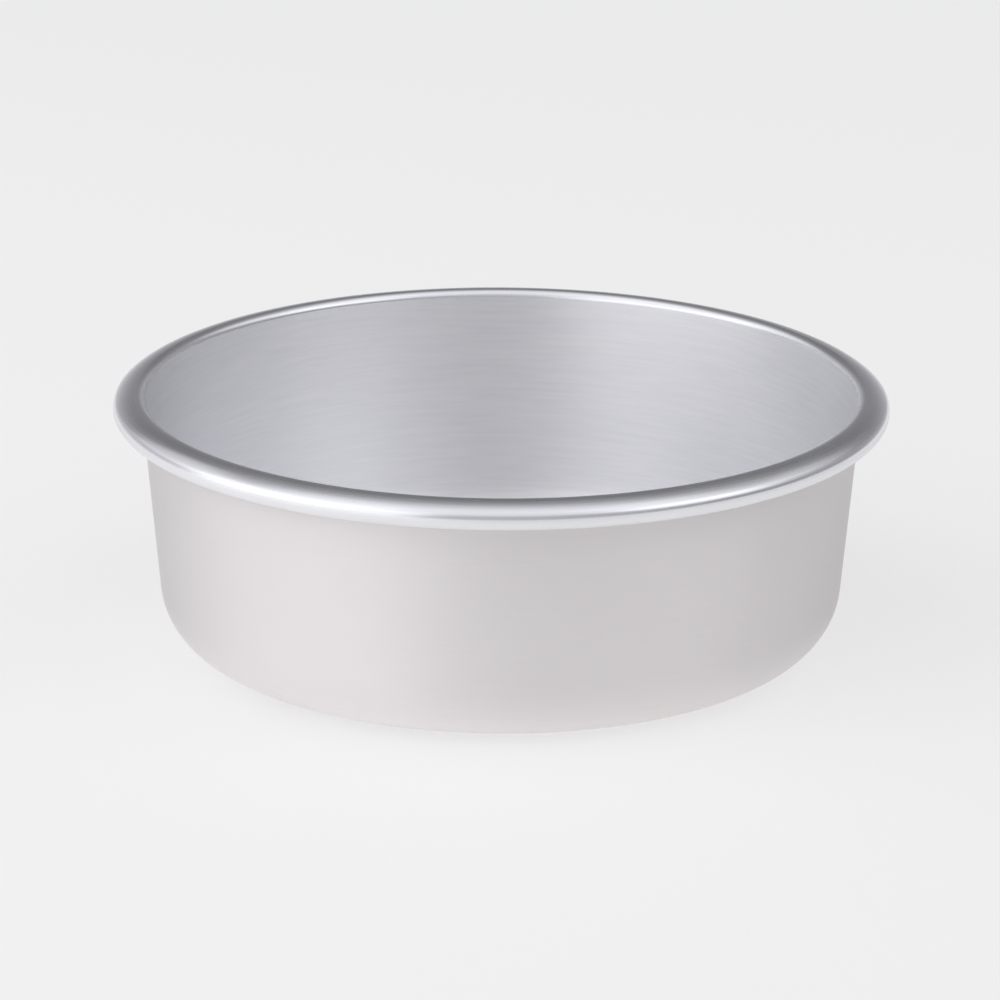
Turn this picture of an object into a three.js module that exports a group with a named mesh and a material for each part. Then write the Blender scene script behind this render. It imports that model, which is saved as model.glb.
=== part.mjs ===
// Round cake pan: one drawn sheet of aluminium, its edge curled outwards over a steel wire.
// Millimetres, +Z up, origin at the middle of the underside.
import * as THREE from "three";

// Driving dimensions
const topInsideDiameter = 200; // across the inside of the wall where it bends into the rim
const panHeight = 74; // underside of the floor to the top of the rim
const sheetThickness = 1.2;
const wallDraft = THREE.MathUtils.degToRad(5.2); // lean of the wall away from upright
const cornerInsideRadius = 18; // between the floor and the wall
const rimBendRadius = 1.2; // under the sheet, where the wall turns into the rim
const crownRadius = 8.5; // over the rim's top, which falls away outwards
const crownTurn = THREE.MathUtils.degToRad(40); // slope of the rim where the curl begins
const wireDiameter = 3.2;
const wireClearance = 0.3; // between the wire and the curl around it
const tuckGap = 0.4; // between the curl's cut edge and the wall

// Facets
const facetsAround = 72;
const facetsRoundWire = 12;
const bendStep = THREE.MathUtils.degToRad(16); // most that one facet of a bend turns

// Sizes that follow from those above, with bends measured to the middle of the sheet
const wallPitch = Math.PI / 2 - wallDraft;
const cornerBend = cornerInsideRadius + sheetThickness / 2;
const rimBend = rimBendRadius + sheetThickness / 2;
const crownBend = crownRadius - sheetThickness / 2;
const curlRadius = wireDiameter / 2 + wireClearance + sheetThickness;
const curlBend = curlRadius - sheetThickness / 2;
const bendRise = (cornerBend + rimBend) * (1 - Math.cos(wallPitch));
const wallRun = (panHeight - sheetThickness - bendRise) / Math.sin(wallPitch);
const wallTopRadius = topInsideDiameter / 2 + (sheetThickness / 2) * Math.sin(wallPitch);
const wallFootRadius = wallTopRadius - wallRun * Math.cos(wallPitch);
const floorRadius = wallFootRadius - cornerBend * Math.sin(wallPitch);
const crownTopRadius = wallTopRadius + rimBend * Math.sin(wallPitch);
const wireRingRadius = crownTopRadius + (crownBend - curlBend) * Math.sin(crownTurn);
const wireHeight = panHeight - crownRadius + (crownBend - curlBend) * Math.cos(crownTurn);

// The curl runs back level under the rim, until its cut edge is within the gap of the wall
const tuckHeight = wireHeight - curlRadius + sheetThickness;
const wallTopHeight = panHeight - sheetThickness / 2 - rimBend * (1 - Math.cos(wallPitch));
const wallLean = (wallTopHeight - tuckHeight) / Math.tan(wallPitch);
const wallFaceRadius = wallTopRadius - wallLean + sheetThickness / 2 / Math.sin(wallPitch);
const tuckRun = wireRingRadius - wallFaceRadius - tuckGap;

// Middle of the sheet from the axis to the cut edge: straight runs, and bends that turn
// up and inwards when positive, down and outwards when negative
const sheetSteps = [
  { run: floorRadius },
  { turn: wallPitch, radius: cornerBend },
  { run: wallRun },
  { turn: -wallPitch, radius: rimBend },
  { turn: -crownTurn, radius: crownBend },
  { turn: crownTurn - Math.PI, radius: curlBend },
  { run: tuckRun },
];

function sideOf(heading) {
  return new THREE.Vector2(-Math.sin(heading), Math.cos(heading));
}

function traceSheet(steps) {
  const at = new THREE.Vector2(0, sheetThickness / 2);
  let heading = 0;
  const stations = [{ at: at.clone(), heading }];
  for (const step of steps) {
    if (step.run !== undefined) {
      at.x += step.run * Math.cos(heading);
      at.y += step.run * Math.sin(heading);
      stations.push({ at: at.clone(), heading });
      continue;
    }
    const facets = Math.ceil(Math.abs(step.turn) / bendStep);
    const arm = step.radius * Math.sign(step.turn);
    const centre = at.clone().addScaledVector(sideOf(heading), arm);
    for (let facet = 1; facet <= facets; facet += 1) {
      heading += step.turn / facets;
      at.copy(centre).addScaledVector(sideOf(heading), -arm);
      stations.push({ at: at.clone(), heading });
    }
  }
  return stations;
}

function sheetFace(stations, offset) {
  return stations.map(({ at, heading }) => at.clone().addScaledVector(sideOf(heading), offset));
}

// Turns an outline about the upright axis
function turned(outline) {
  return new THREE.LatheGeometry(outline, facetsAround).rotateX(Math.PI / 2);
}

function shellGeometry() {
  const stations = traceSheet(sheetSteps);
  const outer = sheetFace(stations, -sheetThickness / 2);
  const inner = sheetFace(stations, sheetThickness / 2);
  return turned([...outer, ...inner.reverse()]);
}

function wireGeometry() {
  const outline = [];
  for (let side = 0; side <= facetsRoundWire; side += 1) {
    const angle = (2 * Math.PI * (side % facetsRoundWire)) / facetsRoundWire;
    const x = wireRingRadius + (wireDiameter / 2) * Math.cos(angle);
    const y = wireHeight + (wireDiameter / 2) * Math.sin(angle);
    outline.push(new THREE.Vector2(x, y));
  }
  return turned(outline);
}

function satinAluminium() {
  return new THREE.MeshStandardMaterial({ color: 0xd6d4d5, roughness: 0.38, metalness: 1 });
}

function galvanisedSteel() {
  return new THREE.MeshStandardMaterial({ color: 0xaeb2b5, roughness: 0.5, metalness: 1 });
}

const panShell = new THREE.Mesh(shellGeometry(), satinAluminium());
panShell.name = "pan_shell";

const rimWire = new THREE.Mesh(wireGeometry(), galvanisedSteel());
rimWire.name = "rim_wire";

const cakePan = new THREE.Group();
cakePan.name = "cake_pan";
cakePan.add(panShell, rimWire);

export default cakePan;
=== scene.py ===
import math

import bmesh
import bpy
from mathutils import Matrix, Vector


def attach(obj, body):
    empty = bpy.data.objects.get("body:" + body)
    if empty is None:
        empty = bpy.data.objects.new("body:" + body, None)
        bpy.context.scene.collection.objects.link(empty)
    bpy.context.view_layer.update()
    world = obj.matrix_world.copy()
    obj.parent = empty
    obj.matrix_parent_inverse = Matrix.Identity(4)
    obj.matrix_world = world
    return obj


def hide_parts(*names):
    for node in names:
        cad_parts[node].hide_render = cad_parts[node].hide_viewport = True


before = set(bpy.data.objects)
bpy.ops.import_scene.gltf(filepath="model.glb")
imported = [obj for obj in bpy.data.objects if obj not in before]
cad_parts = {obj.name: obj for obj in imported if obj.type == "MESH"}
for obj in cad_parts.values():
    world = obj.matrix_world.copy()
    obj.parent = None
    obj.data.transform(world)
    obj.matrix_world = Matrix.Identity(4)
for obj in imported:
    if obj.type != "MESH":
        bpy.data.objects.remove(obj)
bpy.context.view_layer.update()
print("frame loaded:", sorted(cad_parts))

mm = 0.001
onAxis = 0.0001 * mm  # a point nearer to the axis than this lies on it


def linearColour(hexCode):
    parts = [int(hexCode[i:i + 2], 16) / 255 for i in (1, 3, 5)]
    return [c / 12.92 if c <= 0.04045 else ((c + 0.055) / 1.055) ** 2.4 for c in parts] + [1.0]


# adds one node, with its own settings, socket values and incoming links
def addNode(tree, kind, values=None, links=None, **settings):
    node = tree.nodes.new(kind)
    for name, value in settings.items():
        setattr(node, name, value)
    for socket, value in (values or {}).items():
        node.inputs[socket].default_value = value
    for socket, source in (links or {}).items():
        tree.links.new(source, node.inputs[socket])
    return node


# places of the Mix node's sockets, which share their names between numbers and colours
mixSockets = {"factor": 0, "numberA": 2, "numberB": 3, "colourA": 6, "colourB": 7, "colourOut": 2}


def mixColours(tree, factor, first, second):
    colours = {mixSockets["colourA"]: linearColour(first), mixSockets["colourB"]: linearColour(second)}
    blend = addNode(tree, "ShaderNodeMix", colours, {mixSockets["factor"]: factor}, data_type="RGBA")
    return blend.outputs[mixSockets["colourOut"]]


def newMaterial(name):
    material = bpy.data.materials.new(name)
    material.use_nodes = True
    material.node_tree.nodes.clear()
    return material, material.node_tree


# camera: long lens a little above the rim, as the photograph is taken
cameraSetup = {
    "aim": (-0.26 * mm, 0.0, 40.7 * mm),
    "elevation": math.radians(17.83),
    "roll": math.radians(0.309),
    "distance": 1619.9 * mm,
    "lens": 206.31,  # millimetres, as Blender takes it, and so is the sensor
    "sensor": 36.0,
    "sight": 50.0,
}


def makeCamera(setup):
    camera = bpy.data.cameras.new("camera")
    camera.lens = setup["lens"]
    camera.sensor_width = setup["sensor"]
    camera.clip_end = setup["sight"]
    holder = bpy.data.objects.new("camera", camera)
    bpy.context.scene.collection.objects.link(holder)
    pitch = setup["elevation"]
    back = Vector((0.0, -math.cos(pitch), math.sin(pitch))) * setup["distance"]
    turn = Matrix.Rotation(math.pi / 2 - pitch, 4, "X") @ Matrix.Rotation(setup["roll"], 4, "Z")
    holder.matrix_world = Matrix.Translation(Vector(setup["aim"]) + back) @ turn
    bpy.context.scene.camera = holder


makeCamera(cameraSetup)
print("camera placed")


# pan shell: one sheet, traced along its middle from the axis to the cut edge under the rim
panShape = {
    "topInside": 200 * mm,
    "height": 74 * mm,
    "sheet": 1.2 * mm,
    "draft": math.radians(5.2),
    "cornerInside": 18 * mm,
    "rimBend": 1.2 * mm,
    "crown": 8.5 * mm,
    "crownTurn": math.radians(40),
    "rollTurn": math.radians(84),
    "wire": 3.2 * mm,
    "wireClearance": 0.3 * mm,
    "tuckGap": 0.4 * mm,
    "edgeRound": 0.3 * mm,
    "edgeLeans": [math.radians(lean) for lean in (-60, -30, 0, 30, 60)],
    "facetsAround": 256,
    "bendStep": math.radians(4.0),
    "runStep": 6 * mm,
}


def sideOf(heading):
    return Vector((-math.sin(heading), math.cos(heading)))


def aheadOf(heading):
    return Vector((math.cos(heading), math.sin(heading)))


# sizes that follow from the shape, with bends measured to the middle of the sheet
def panSizes(shape):
    pitch = math.pi / 2 - shape["draft"]
    sheet = shape["sheet"]
    corner = shape["cornerInside"] + sheet / 2
    rimBend = shape["rimBend"] + sheet / 2
    crown = shape["crown"] - sheet / 2
    curlOutside = shape["wire"] / 2 + shape["wireClearance"] + sheet
    curl = curlOutside - sheet / 2
    rise = (corner + rimBend) * (1 - math.cos(pitch))
    wall = (shape["height"] - sheet - rise) / math.sin(pitch)
    wallTop = shape["topInside"] / 2 + sheet / 2 * math.sin(pitch)
    wireRing = wallTop + rimBend * math.sin(pitch) + (crown - curl) * math.sin(shape["crownTurn"])
    wireHeight = shape["height"] - shape["crown"] + (crown - curl) * math.cos(shape["crownTurn"])
    # outside face of the wall, level with the top of the edge tucked under the rim
    tuckTop = wireHeight - curlOutside + sheet
    drop = shape["height"] - sheet / 2 - rimBend * (1 - math.cos(pitch)) - tuckTop
    wallFace = wallTop - drop / math.tan(pitch) + sheet / 2 / math.sin(pitch)
    return {
        "pitch": pitch,
        "corner": corner,
        "rimBend": rimBend,
        "crown": crown,
        "curl": curl,
        "wall": wall,
        "floor": wallTop - wall * math.cos(pitch) - corner * math.sin(pitch),
        "tuckRun": wireRing - wallFace - shape["tuckGap"],
        "wireRing": wireRing,
        "wireHeight": wireHeight,
    }


# straight runs as (length, 0), bends as (radius, turn), up and inwards when positive
def traceSheet(shape, sizes):
    steps = [
        ("floor", sizes["floor"], 0.0),
        ("corner", sizes["corner"], sizes["pitch"]),
        ("wall", sizes["wall"], 0.0),
        ("rim", sizes["rimBend"], -sizes["pitch"]),
        ("rim", sizes["crown"], -shape["crownTurn"]),
        ("rim", sizes["curl"], shape["crownTurn"] - shape["rollTurn"]),
        ("under", sizes["curl"], shape["rollTurn"] - math.pi),
        ("under", sizes["tuckRun"], 0.0),
    ]
    at = Vector((0.0, shape["sheet"] / 2))
    heading = 0.0
    stations = [(at.copy(), heading, "floor")]
    for section, length, turn in steps:
        if turn == 0.0:
            count = max(1, round(length / shape["runStep"]))
            for _ in range(count):
                at = at + aheadOf(heading) * (length / count)
                stations.append((at.copy(), heading, section))
            continue
        count = math.ceil(abs(turn) / shape["bendStep"])
        arm = math.copysign(length, turn)
        centre = at + sideOf(heading) * arm
        for _ in range(count):
            heading += turn / count
            at = centre - sideOf(heading) * arm
            stations.append((at.copy(), heading, section))
    return stations


# points of the section, each with its stretch of the sheet and its face
def panOutline(shape, sizes):
    stations = traceSheet(shape, sizes)
    half = shape["sheet"] / 2
    outside = [(at - sideOf(heading) * half, section, "outside") for at, heading, section in stations]
    inside = [(at + sideOf(heading) * half, section, "inside") for at, heading, section in stations]
    endAt, endHeading, _ = stations[-1]
    cutEdge = []
    for lean in shape["edgeLeans"]:
        ahead = aheadOf(endHeading) * shape["edgeRound"] * math.cos(lean)
        cutEdge.append((endAt + ahead + sideOf(endHeading) * half * math.sin(lean), "under", "inside"))
    return outside + cutEdge + inside[::-1]


# turns an outline about the upright axis; a point on the axis becomes one vertex
def turnedMesh(name, outline, around, closed, slotOf):
    mesh = bpy.data.meshes.new(name)
    work = bmesh.new()
    uvLayer = work.loops.layers.uv.new("OFBake")
    rings = []
    travel = [0.0]
    for (before, *_), (after, *_) in zip(outline, outline[1:]):
        travel.append(travel[-1] + (after - before).length)
    for point, *_ in outline:
        if point.x < onAxis:
            rings.append([work.verts.new((0.0, 0.0, point.y))] * around)
            continue
        ring = []
        for k in range(around):
            angle = 2 * math.pi * k / around
            ring.append(work.verts.new((point.x * math.cos(angle), point.x * math.sin(angle), point.y)))
        rings.append(ring)
    pairs = list(zip(range(len(rings)), range(1, len(rings))))
    total = travel[-1]
    if closed:
        pairs.append((len(rings) - 1, 0))
        total += (outline[0][0] - outline[-1][0]).length
    for low, high in pairs:
        for k in range(around):
            after = (k + 1) % around
            corners = [(rings[low][k], k, low), (rings[low][after], k + 1, low),
                       (rings[high][after], k + 1, high), (rings[high][k], k, high)]
            if rings[low][k] is rings[low][after]:
                corners.pop(1)
            if rings[high][k] is rings[high][after]:
                corners.pop(2)
            face = work.faces.new([vert for vert, _, _ in corners])
            face.smooth = True
            face.material_index = slotOf(outline[low], outline[high])
            for loop, (_, step, row) in zip(face.loops, corners):
                along = total if closed and high == 0 and row == 0 else travel[row]
                loop[uvLayer].uv = (step / around, along / total)
    work.to_mesh(mesh)
    work.free()
    piece = bpy.data.objects.new(name, mesh)
    bpy.context.scene.collection.objects.link(piece)
    return piece


# the shell's materials, in the order in which they are added to it
sheetSlots = {"inside": 0, "outside": 1, "rim": 2}


# the bright roll covers the top of the rim, and the satin outside starts again under it
def sheetFinish(before, after):
    if before[1] == "rim" and after[1] == "rim":
        return sheetSlots["rim"]
    return sheetSlots[after[2]]


sizes = panSizes(panShape)
panSection = panOutline(panShape, sizes)
panShell = turnedMesh("panShell", panSection, panShape["facetsAround"], False, sheetFinish)
print("pan shell turned:", len(panShell.data.polygons), "faces")


# rim wire: round rod bent to a ring and butt welded, with the weld left a little proud
wireShape = {
    "facetsAround": 240,
    "facetsRound": 20,
    "weldLength": 5 * mm,
    "weldProud": 0.15 * mm,
}


def wireOutline(shape, pan, sizes):
    centre = Vector((sizes["wireRing"], sizes["wireHeight"]))
    points = []
    for k in range(shape["facetsRound"]):
        angle = 2 * math.pi * k / shape["facetsRound"]
        points.append((centre + aheadOf(angle) * pan["wire"] / 2, "wire", "outside"))
    return points


# the weld swells the rod most at the back of the ring, and dies away on both sides
def swellWeld(piece, shape, sizes):
    for vert in piece.data.vertices:
        away = math.atan2(vert.co.x, vert.co.y) * sizes["wireRing"] / shape["weldLength"]
        swell = shape["weldProud"] * math.exp(-(2 * away) ** 2)
        flat = Vector((vert.co.x, vert.co.y, 0.0)).normalized()
        core = flat * sizes["wireRing"] + Vector((0.0, 0.0, sizes["wireHeight"]))
        vert.co += (vert.co - core).normalized() * swell


wireSection = wireOutline(wireShape, panShape, sizes)
rimWire = turnedMesh("rimWireRing", wireSection, wireShape["facetsAround"], True, lambda before, after: 0)
swellWeld(rimWire, wireShape, sizes)
print("rim wire turned:", len(rimWire.data.polygons), "faces")


# spun and satin aluminium: soft grey metal; lathe lines run round it and pull highlights up and down
insideFinish = {
    "colour": "#f8f8fa",
    "dull": "#f3f3f6",
    "roughness": 0.46,
    "anisotropy": 0.65,
    "lineSpacing": 0.7 * mm,
    "lineLength": 16 * mm,
    "lineDepth": 0.002 * mm,
    "lineGloss": 0.03,
    "blotch": 35 * mm,
    "blotchGloss": 0.03,
}
outsideFinish = {
    "colour": "#f6f3f3",
    "dull": "#f4f1f1",
    "roughness": 0.65,
    "anisotropy": 0.7,
    "lineSpacing": 0.4 * mm,
    "lineLength": 14 * mm,
    "lineDepth": 0.0006 * mm,
    "lineGloss": 0.02,
    "blotch": 45 * mm,
    "blotchGloss": 0.02,
}
rimFinish = {
    "colour": "#efeff4",
    "dull": "#ebebf0",
    "roughness": 0.26,
    "anisotropy": 0.0,
    "lineSpacing": 0.4 * mm,
    "lineLength": 22 * mm,
    "lineDepth": 0.0006 * mm,
    "lineGloss": 0.02,
    "blotch": 25 * mm,
    "blotchGloss": 0.02,
}
# what the three finishes share: line lengths hold at the wall, and noise mostly stays in its span
latheShare = {
    "wallRadius": 90 * mm,
    "lineDetail": 2.0,
    "lineRoughness": 0.55,
    "blotchDetail": 3.0,
    "noiseSpan": (0.3, 0.7),
    "quarterTurn": 0.25,
}


# noise drawn out round the axis; across the lines run the radius on the floor and the height on the wall
def latheLines(tree, place, finish):
    parts = addNode(tree, "ShaderNodeSeparateXYZ", links={0: place})
    flat = addNode(tree, "ShaderNodeCombineXYZ", links={0: parts.outputs["X"], 1: parts.outputs["Y"]})
    radius = addNode(tree, "ShaderNodeVectorMath", links={0: flat.outputs[0]}, operation="LENGTH")
    outward = addNode(tree, "ShaderNodeVectorMath", links={0: flat.outputs[0]}, operation="NORMALIZE")
    across = addNode(tree, "ShaderNodeMath", links={0: radius.outputs["Value"], 1: parts.outputs["Z"]},
                     operation="SUBTRACT")
    packed = addNode(tree, "ShaderNodeMath", {1: 1 / finish["lineSpacing"]}, {0: across.outputs[0]},
                     operation="MULTIPLY")
    # one step of noise per line length
    drawn = addNode(tree, "ShaderNodeVectorMath", {"Scale": latheShare["wallRadius"] / finish["lineLength"]},
                    {0: outward.outputs[0]}, operation="SCALE")
    lift = addNode(tree, "ShaderNodeCombineXYZ", links={2: packed.outputs[0]})
    where = addNode(tree, "ShaderNodeVectorMath", links={0: drawn.outputs[0], 1: lift.outputs[0]},
                    operation="ADD")
    grain = {"Scale": 1.0, "Detail": latheShare["lineDetail"], "Roughness": latheShare["lineRoughness"]}
    return addNode(tree, "ShaderNodeTexNoise", grain, {"Vector": where.outputs[0]}).outputs["Fac"]


# spreads the span of a noise from low to high
def noiseBetween(tree, noise, low, high):
    least, most = latheShare["noiseSpan"]
    ends = {"From Min": least, "From Max": most, "To Min": low, "To Max": high}
    return addNode(tree, "ShaderNodeMapRange", ends, {"Value": noise}).outputs[0]


def latheAluminium(name, finish):
    material, tree = newMaterial(name)
    place = addNode(tree, "ShaderNodeTexCoord").outputs["Object"]
    lines = latheLines(tree, place, finish)
    patches = {"Scale": 1 / finish["blotch"], "Detail": latheShare["blotchDetail"]}
    blotch = addNode(tree, "ShaderNodeTexNoise", patches, {"Vector": place})
    lineGloss = noiseBetween(tree, lines, -finish["lineGloss"], finish["lineGloss"])
    blotchGloss = noiseBetween(tree, blotch.outputs["Fac"], finish["roughness"] - finish["blotchGloss"],
                               finish["roughness"] + finish["blotchGloss"])
    roughness = addNode(tree, "ShaderNodeMath", links={0: lineGloss, 1: blotchGloss}, operation="ADD")
    colour = mixColours(tree, noiseBetween(tree, lines, 0.0, 1.0), finish["dull"], finish["colour"])
    bump = addNode(tree, "ShaderNodeBump", {"Strength": 1.0, "Distance": finish["lineDepth"]},
                   {"Height": lines})
    # a quarter turn from the way round, so that the stretch runs across the lines
    tangent = addNode(tree, "ShaderNodeTangent", direction_type="RADIAL", axis="Z")
    metal = addNode(tree, "ShaderNodeBsdfPrincipled",
                    {"Metallic": 1.0, "Anisotropic": finish["anisotropy"],
                     "Anisotropic Rotation": latheShare["quarterTurn"]},
                    {"Base Color": colour, "Roughness": roughness.outputs[0],
                     "Normal": bump.outputs[0], "Tangent": tangent.outputs[0]})
    addNode(tree, "ShaderNodeOutputMaterial", links={"Surface": metal.outputs[0]})
    return material


for name, finish in (("spunAluminiumInside", insideFinish), ("satinAluminiumOutside", outsideFinish),
                     ("rolledAluminiumRim", rimFinish)):
    panShell.data.materials.append(latheAluminium(name, finish))


# galvanised steel: dull zinc grey with soft spangle
wireFinish = {"pale": "#b9bdc0", "dark": "#8f9498", "roughness": 0.5, "spangle": 2.5 * mm}


def galvanisedSteel(finish):
    material, tree = newMaterial("galvanisedSteel")
    place = addNode(tree, "ShaderNodeTexCoord")
    spangle = addNode(tree, "ShaderNodeTexVoronoi", {"Scale": 1 / finish["spangle"]},
                      {"Vector": place.outputs["Object"]})
    colour = mixColours(tree, spangle.outputs["Color"], finish["dark"], finish["pale"])
    metal = addNode(tree, "ShaderNodeBsdfPrincipled", {"Metallic": 1.0, "Roughness": finish["roughness"]},
                    {"Base Color": colour})
    addNode(tree, "ShaderNodeOutputMaterial", links={"Surface": metal.outputs[0]})
    return material


rimWire.data.materials.append(galvanisedSteel(wireFinish))
print("metals made")

for piece, node, slot in ((panShell, "pan_shell", "satin_aluminium"),
                          (rimWire, "rim_wire", "galvanised_steel")):
    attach(piece, "root")
    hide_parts(node)


# studio: pale floor that glows a little, as a lit table does
floorSetup = {"side": 8.0, "colour": "#fcfcfc", "drop": 0.05 * mm, "glowShare": 0.55}


def makeFloor(setup):
    mesh = bpy.data.meshes.new("floor")
    half = setup["side"] / 2
    corners = [(-half, -half, 0), (half, -half, 0), (half, half, 0), (-half, half, 0)]
    mesh.from_pydata(corners, [], [(0, 1, 2, 3)])
    floor = bpy.data.objects.new("floor", mesh)
    floor.location.z = -setup["drop"]
    bpy.context.scene.collection.objects.link(floor)
    material, tree = newMaterial("paleFloor")
    colour = linearColour(setup["colour"])
    paint = addNode(tree, "ShaderNodeBsdfDiffuse", {"Color": colour})
    glow = addNode(tree, "ShaderNodeEmission", {"Color": colour})
    # the camera and the metal see the glow, and the rest keeps the pan's shadow
    path = addNode(tree, "ShaderNodeLightPath")
    seen = path.outputs["Is Camera Ray"]
    for kind in ("Is Glossy Ray", "Is Transmission Ray"):
        either = addNode(tree, "ShaderNodeMath", links={0: seen, 1: path.outputs[kind]}, operation="MAXIMUM")
        seen = either.outputs[0]
    share = addNode(tree, "ShaderNodeMath", {1: setup["glowShare"]}, {0: seen}, operation="MULTIPLY")
    blend = addNode(tree, "ShaderNodeMixShader",
                    links={0: share.outputs[0], 1: paint.outputs[0], 2: glow.outputs[0]})
    addNode(tree, "ShaderNodeOutputMaterial", links={"Surface": blend.outputs[0]})
    mesh.materials.append(material)


makeFloor(floorSetup)

# softboxes round the pan, in metres and degrees; azimuth from the camera's side, to the right when positive
softboxes = {
    "keyLeft": {"azimuth": -60, "elevation": 18, "distance": 0.9, "face": (1.3, 0.7), "glow": 0.64},
    "fillLeft": {"azimuth": -38, "elevation": 44, "distance": 1.2, "face": (0.45, 0.4), "glow": 0.3},
    "fillRight": {"azimuth": 62, "elevation": 36, "distance": 1.2, "face": (0.9, 0.5), "glow": 0.45},
    "topLeft": {"azimuth": -75, "elevation": 57, "distance": 1.2, "face": (0.8, 0.7), "glow": 0.2},
    "topRight": {"azimuth": 75, "elevation": 57, "distance": 1.2, "face": (0.8, 0.7), "glow": 0.15},
    "backLeft": {"azimuth": -117, "elevation": 32, "distance": 1.1, "face": (0.7, 0.6), "glow": 0.4},
    "backRight": {"azimuth": 117, "elevation": 38, "distance": 1.2, "face": (0.6, 0.4), "glow": 0.25},
}
panMiddle = Vector((0.0, 0.0, 40 * mm))


def makeSoftbox(name, setup):
    width, height = setup["face"]
    lamp = bpy.data.lights.new(name, "AREA")
    lamp.shape = "RECTANGLE"
    lamp.size = width
    lamp.size_y = height
    # the lamp's face then shows as bright as its glow
    lamp.energy = math.pi * width * height * setup["glow"]
    holder = bpy.data.objects.new(name, lamp)
    bpy.context.scene.collection.objects.link(holder)
    turn, rise = math.radians(setup["azimuth"]), math.radians(setup["elevation"])
    away = Vector((math.sin(turn) * math.cos(rise), -math.cos(turn) * math.cos(rise), math.sin(rise)))
    holder.location = panMiddle + away * setup["distance"]
    holder.rotation_euler = (-away).to_track_quat("-Z", "Y").to_euler()
    holder.visible_camera = False


for name, setup in softboxes.items():
    makeSoftbox(name, setup)

# room: its walls go from the pale left to the dim right, its ceiling from the pale front to the dim back
roomSetup = {
    "tint": "#fafafd",
    "walls": ((-1.0, 0.6), (-0.5, 0.56), (0.0, 0.52), (0.5, 0.45), (1.0, 0.3)),
    "ceiling": ((-1.0, 0.6), (-0.65, 0.84), (-0.2, 0.94), (0.05, 0.86),
                (0.3, 0.54), (0.5, 0.33), (0.8, 0.19)),
    "ceilingLean": 0.2,
    "ceilingEnds": (0.25, 0.55),
}


# brightness at places from -1 to 1 across the room
def roomLevels(tree, place, levels):
    along = addNode(tree, "ShaderNodeMapRange", {"From Min": -1.0, "From Max": 1.0}, {"Value": place})
    ramp = addNode(tree, "ShaderNodeValToRGB", links={0: along.outputs[0]})
    stops = ramp.color_ramp.elements
    while len(stops) < len(levels):
        stops.new(0.5)
    for stop, (where, strength) in zip(stops, levels):
        stop.position = (where + 1) / 2
        stop.color = (strength, strength, strength, 1.0)
    return ramp.outputs["Color"]


def makeRoom(setup):
    world = bpy.data.worlds.new("studio")
    world.use_nodes = True
    tree = world.node_tree
    tree.nodes.clear()
    place = addNode(tree, "ShaderNodeTexCoord")
    parts = addNode(tree, "ShaderNodeSeparateXYZ", links={0: place.outputs["Generated"]})
    walls = roomLevels(tree, parts.outputs["X"], setup["walls"])
    ceiling = roomLevels(tree, parts.outputs["Y"], setup["ceiling"])
    # the ceiling comes lower behind the pan than in front of it
    height = addNode(tree, "ShaderNodeMath", {1: setup["ceilingLean"]},
                     {0: parts.outputs["Y"], 2: parts.outputs["Z"]}, operation="MULTIPLY_ADD")
    low, high = setup["ceilingEnds"]
    rise = addNode(tree, "ShaderNodeMapRange", {"From Min": low, "From Max": high},
                   {"Value": height.outputs[0]})
    strength = addNode(tree, "ShaderNodeMix", links={
        mixSockets["factor"]: rise.outputs[0], mixSockets["numberA"]: walls, mixSockets["numberB"]: ceiling})
    glow = addNode(tree, "ShaderNodeBackground", {"Color": linearColour(setup["tint"])},
                   {"Strength": strength.outputs[0]})
    addNode(tree, "ShaderNodeOutputWorld", links={"Surface": glow.outputs[0]})
    bpy.context.scene.world = world


makeRoom(roomSetup)
bpy.context.scene.view_settings.view_transform = "Standard"
print("studio lit:", ", ".join(softboxes))
